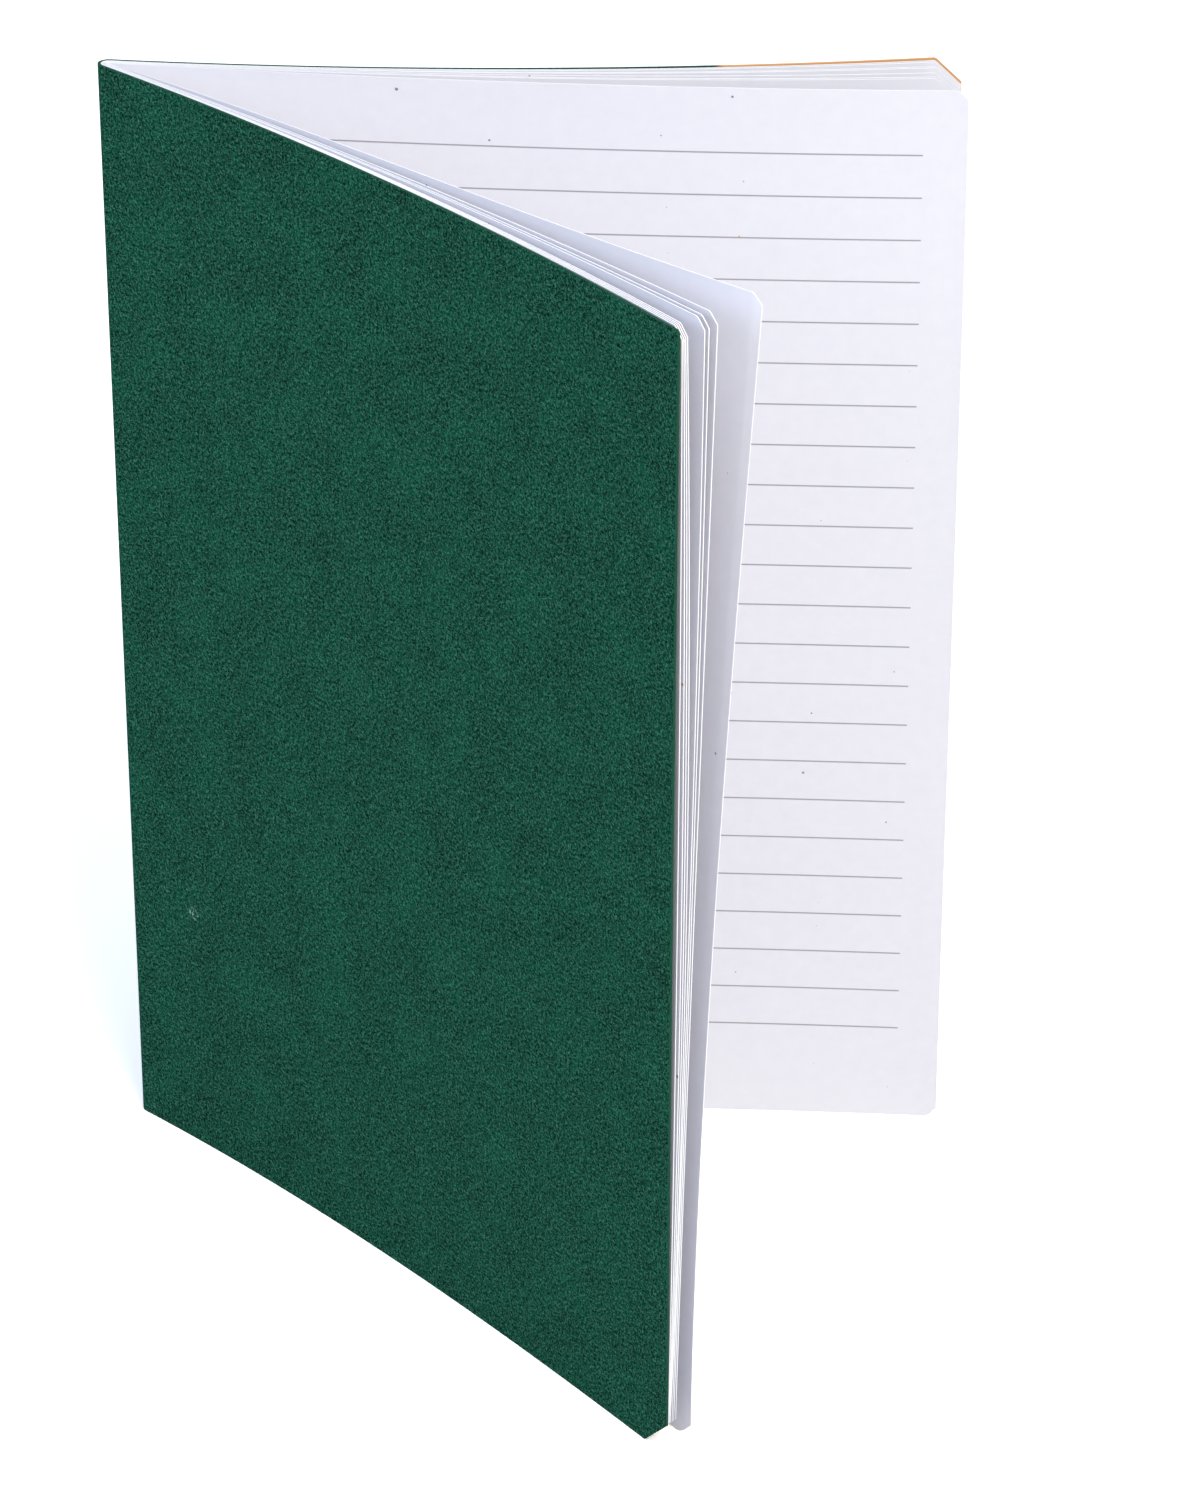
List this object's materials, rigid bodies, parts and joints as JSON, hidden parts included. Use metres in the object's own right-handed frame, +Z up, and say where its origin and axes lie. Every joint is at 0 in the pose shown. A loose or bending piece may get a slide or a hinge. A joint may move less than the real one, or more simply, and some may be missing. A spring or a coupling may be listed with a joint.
{
  "type": "notebook",
  "caption": "Stapled A5 soft-cover notebook with ruled leaves, standing open in a V; covers and leaves turn on the fold.",
  "frame": {"origin": "foot of the spine, in the middle of the card's thickness, on the surface the notebook stands on", "axes": "+Z up along the fold, +X along the back cover towards its fore edge, -Y towards the swung front cover"},
  "size_m": [0.1493, 0.1172, 0.21],
  "materials": {
    "cover_card": "uncoated fibrous green card, matt",
    "writing_paper": "uncoated white writing paper with thin grey ruling",
    "staple_wire": "bright galvanised round wire"
  },
  "bodies": {
    "binding": {"cover_spine": "cover_card", "sheet_fold_1": "writing_paper", "sheet_fold_2": "writing_paper", "sheet_fold_3": "writing_paper", "sheet_fold_4": "writing_paper", "sheet_fold_5": "writing_paper", "sheet_fold_6": "writing_paper", "sheet_fold_7": "writing_paper", "sheet_fold_8": "writing_paper", "lower_staple": "staple_wire", "upper_staple": "staple_wire"},
    "front_cover": {"front_cover": "cover_card"},
    "front_leaf_1": {"front_leaf_1": "writing_paper"},
    "front_leaf_2": {"front_leaf_2": "writing_paper"},
    "front_leaf_3": {"front_leaf_3": "writing_paper"},
    "front_leaf_4": {"front_leaf_4": "writing_paper"},
    "front_leaf_5": {"front_leaf_5": "writing_paper"},
    "front_leaf_6": {"front_leaf_6": "writing_paper"},
    "front_leaf_7": {"front_leaf_7": "writing_paper"},
    "front_leaf_8": {"front_leaf_8": "writing_paper"},
    "back_cover": {"back_cover": "cover_card"},
    "back_leaf_1": {"back_leaf_1": "writing_paper"},
    "back_leaf_2": {"back_leaf_2": "writing_paper"},
    "back_leaf_3": {"back_leaf_3": "writing_paper"},
    "back_leaf_4": {"back_leaf_4": "writing_paper"},
    "back_leaf_5": {"back_leaf_5": "writing_paper"},
    "back_leaf_6": {"back_leaf_6": "writing_paper"},
    "back_leaf_7": {"back_leaf_7": "writing_paper"},
    "back_leaf_8": {"back_leaf_8": "writing_paper"}
  },
  "joints": [
    {"name": "front_cover_hinge", "type": "hinge", "parent": "binding", "child": "front_cover", "pos_m": [0.00143, -0.00062, 0], "axis": [0, 0, 1], "range_deg": [-66, 28]},
    {"name": "front_leaf_1_fold", "type": "hinge", "parent": "binding", "child": "front_leaf_1", "pos_m": [0.00143, -0.00062, 0], "axis": [0, 0, 1], "range_deg": [-66, 28]},
    {"name": "front_leaf_2_fold", "type": "hinge", "parent": "binding", "child": "front_leaf_2", "pos_m": [0.00143, -0.00062, 0], "axis": [0, 0, 1], "range_deg": [-66, 28]},
    {"name": "front_leaf_3_fold", "type": "hinge", "parent": "binding", "child": "front_leaf_3", "pos_m": [0.00143, -0.00062, 0], "axis": [0, 0, 1], "range_deg": [-66, 28]},
    {"name": "front_leaf_4_fold", "type": "hinge", "parent": "binding", "child": "front_leaf_4", "pos_m": [0.00143, -0.00062, 0], "axis": [0, 0, 1], "range_deg": [-66, 28]},
    {"name": "front_leaf_5_fold", "type": "hinge", "parent": "binding", "child": "front_leaf_5", "pos_m": [0.00143, -0.00062, 0], "axis": [0, 0, 1], "range_deg": [-66, 28]},
    {"name": "front_leaf_6_fold", "type": "hinge", "parent": "binding", "child": "front_leaf_6", "pos_m": [0.00143, -0.00062, 0], "axis": [0, 0, 1], "range_deg": [-66, 28]},
    {"name": "front_leaf_7_fold", "type": "hinge", "parent": "binding", "child": "front_leaf_7", "pos_m": [0.00143, -0.00062, 0], "axis": [0, 0, 1], "range_deg": [-66, 28]},
    {"name": "front_leaf_8_fold", "type": "hinge", "parent": "binding", "child": "front_leaf_8", "pos_m": [0.00143, -0.00062, 0], "axis": [0, 0, 1], "range_deg": [-66, 28]},
    {"name": "back_cover_hinge", "type": "hinge", "parent": "binding", "child": "back_cover", "pos_m": [0.00143, -0.00062, 0], "axis": [0, 0, -1], "range_deg": [-66, 0]},
    {"name": "back_leaf_1_fold", "type": "hinge", "parent": "binding", "child": "back_leaf_1", "pos_m": [0.00143, -0.00062, 0], "axis": [0, 0, -1], "range_deg": [-66, 0]},
    {"name": "back_leaf_2_fold", "type": "hinge", "parent": "binding", "child": "back_leaf_2", "pos_m": [0.00143, -0.00062, 0], "axis": [0, 0, -1], "range_deg": [-66, 0]},
    {"name": "back_leaf_3_fold", "type": "hinge", "parent": "binding", "child": "back_leaf_3", "pos_m": [0.00143, -0.00062, 0], "axis": [0, 0, -1], "range_deg": [-66, 0]},
    {"name": "back_leaf_4_fold", "type": "hinge", "parent": "binding", "child": "back_leaf_4", "pos_m": [0.00143, -0.00062, 0], "axis": [0, 0, -1], "range_deg": [-66, 0]},
    {"name": "back_leaf_5_fold", "type": "hinge", "parent": "binding", "child": "back_leaf_5", "pos_m": [0.00143, -0.00062, 0], "axis": [0, 0, -1], "range_deg": [-66, 0]},
    {"name": "back_leaf_6_fold", "type": "hinge", "parent": "binding", "child": "back_leaf_6", "pos_m": [0.00143, -0.00062, 0], "axis": [0, 0, -1], "range_deg": [-66, 0]},
    {"name": "back_leaf_7_fold", "type": "hinge", "parent": "binding", "child": "back_leaf_7", "pos_m": [0.00143, -0.00062, 0], "axis": [0, 0, -1], "range_deg": [-66, 0]},
    {"name": "back_leaf_8_fold", "type": "hinge", "parent": "binding", "child": "back_leaf_8", "pos_m": [0.00143, -0.00062, 0], "axis": [0, 0, -1], "range_deg": [-66, 0]}
  ],
  "couplings": [
    {"joint": "front_leaf_1_fold", "follows": "front_cover_hinge", "ratio": 0.999},
    {"joint": "front_leaf_2_fold", "follows": "front_cover_hinge", "ratio": 0.9985},
    {"joint": "front_leaf_3_fold", "follows": "front_cover_hinge", "ratio": 0.9975},
    {"joint": "front_leaf_4_fold", "follows": "front_cover_hinge", "ratio": 0.9965},
    {"joint": "front_leaf_5_fold", "follows": "front_cover_hinge", "ratio": 0.995},
    {"joint": "front_leaf_6_fold", "follows": "front_cover_hinge", "ratio": 0.993},
    {"joint": "front_leaf_7_fold", "follows": "front_cover_hinge", "ratio": 0.991},
    {"joint": "front_leaf_8_fold", "follows": "front_cover_hinge", "ratio": 0.975},
    {"joint": "back_leaf_1_fold", "follows": "back_cover_hinge", "ratio": 0.99},
    {"joint": "back_leaf_2_fold", "follows": "back_cover_hinge", "ratio": 0.98},
    {"joint": "back_leaf_3_fold", "follows": "back_cover_hinge", "ratio": 0.97},
    {"joint": "back_leaf_4_fold", "follows": "back_cover_hinge", "ratio": 0.96},
    {"joint": "back_leaf_5_fold", "follows": "back_cover_hinge", "ratio": 0.95},
    {"joint": "back_leaf_6_fold", "follows": "back_cover_hinge", "ratio": 0.94},
    {"joint": "back_leaf_7_fold", "follows": "back_cover_hinge", "ratio": 0.93},
    {"joint": "back_leaf_8_fold", "follows": "back_cover_hinge", "ratio": 0.92}
  ]
}
